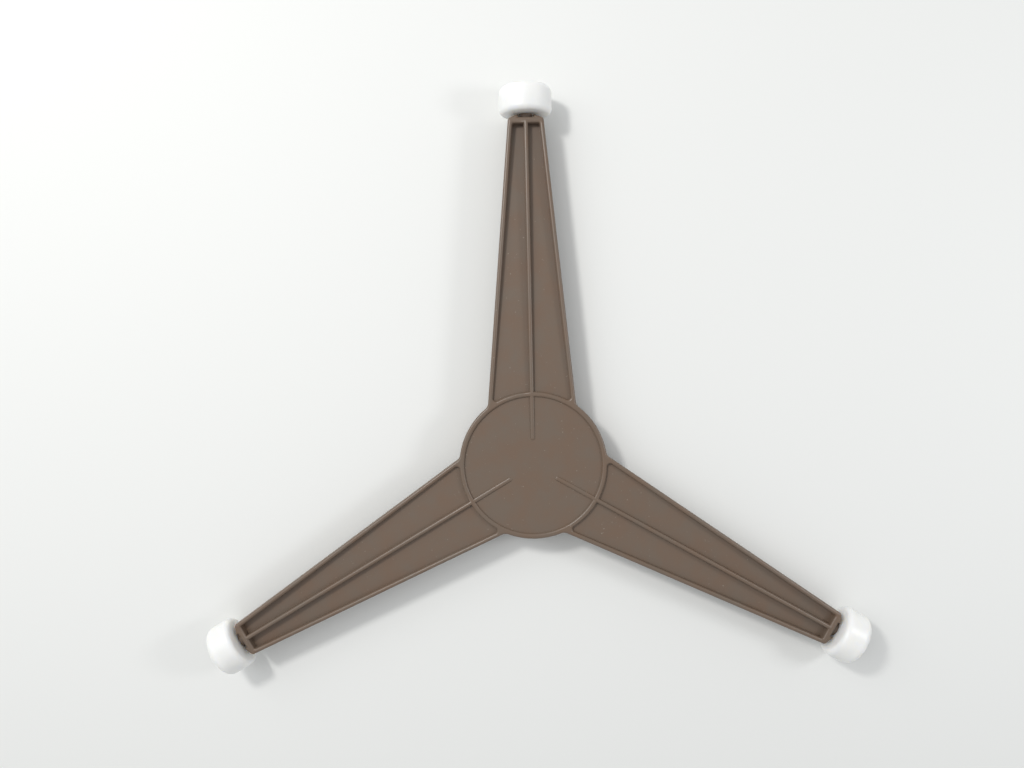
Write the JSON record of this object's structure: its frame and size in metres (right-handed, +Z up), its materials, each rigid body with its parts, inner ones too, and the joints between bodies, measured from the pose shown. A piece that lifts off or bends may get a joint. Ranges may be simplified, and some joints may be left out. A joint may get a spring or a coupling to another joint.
{
  "type": "microwave turntable roller support",
  "caption": "Three-armed roller support for a microwave turntable: a ribbed one-piece spider with a drive socket under its hub and free-running rollers on radial stub axles.",
  "frame": {"origin": "on the drive axis, at the mouth of the drive socket under the hub, 2 mm above the surface that the rollers stand on", "axes": "+Z up along the drive axis; +Y outward along arm 1; arm 2 points to 210 degrees and arm 3 to 330 degrees, counted from +X towards +Y"},
  "size_m": [0.2312, 0.2009, 0.018],
  "materials": {
    "spider_plastic": "fine matte moulded surface, taupe brown",
    "roller_plastic": "smooth natural white, slightly waxy"
  },
  "bodies": {
    "spider": {"spider": "spider_plastic"},
    "roller_1": {"roller_1": "roller_plastic"},
    "roller_2": {"roller_2": "roller_plastic"},
    "roller_3": {"roller_3": "roller_plastic"}
  },
  "joints": [
    {"name": "roller_1_spin", "type": "hinge", "parent": "spider", "child": "roller_1", "pos_m": [0, 0, 0.007], "axis": [0, 1, 0], "continuous": true},
    {"name": "roller_2_spin", "type": "hinge", "parent": "spider", "child": "roller_2", "pos_m": [0, 0, 0.007], "axis": [-0.866, -0.5, 0], "continuous": true},
    {"name": "roller_3_spin", "type": "hinge", "parent": "spider", "child": "roller_3", "pos_m": [0, 0, 0.007], "axis": [0.866, -0.5, 0], "continuous": true}
  ]
}
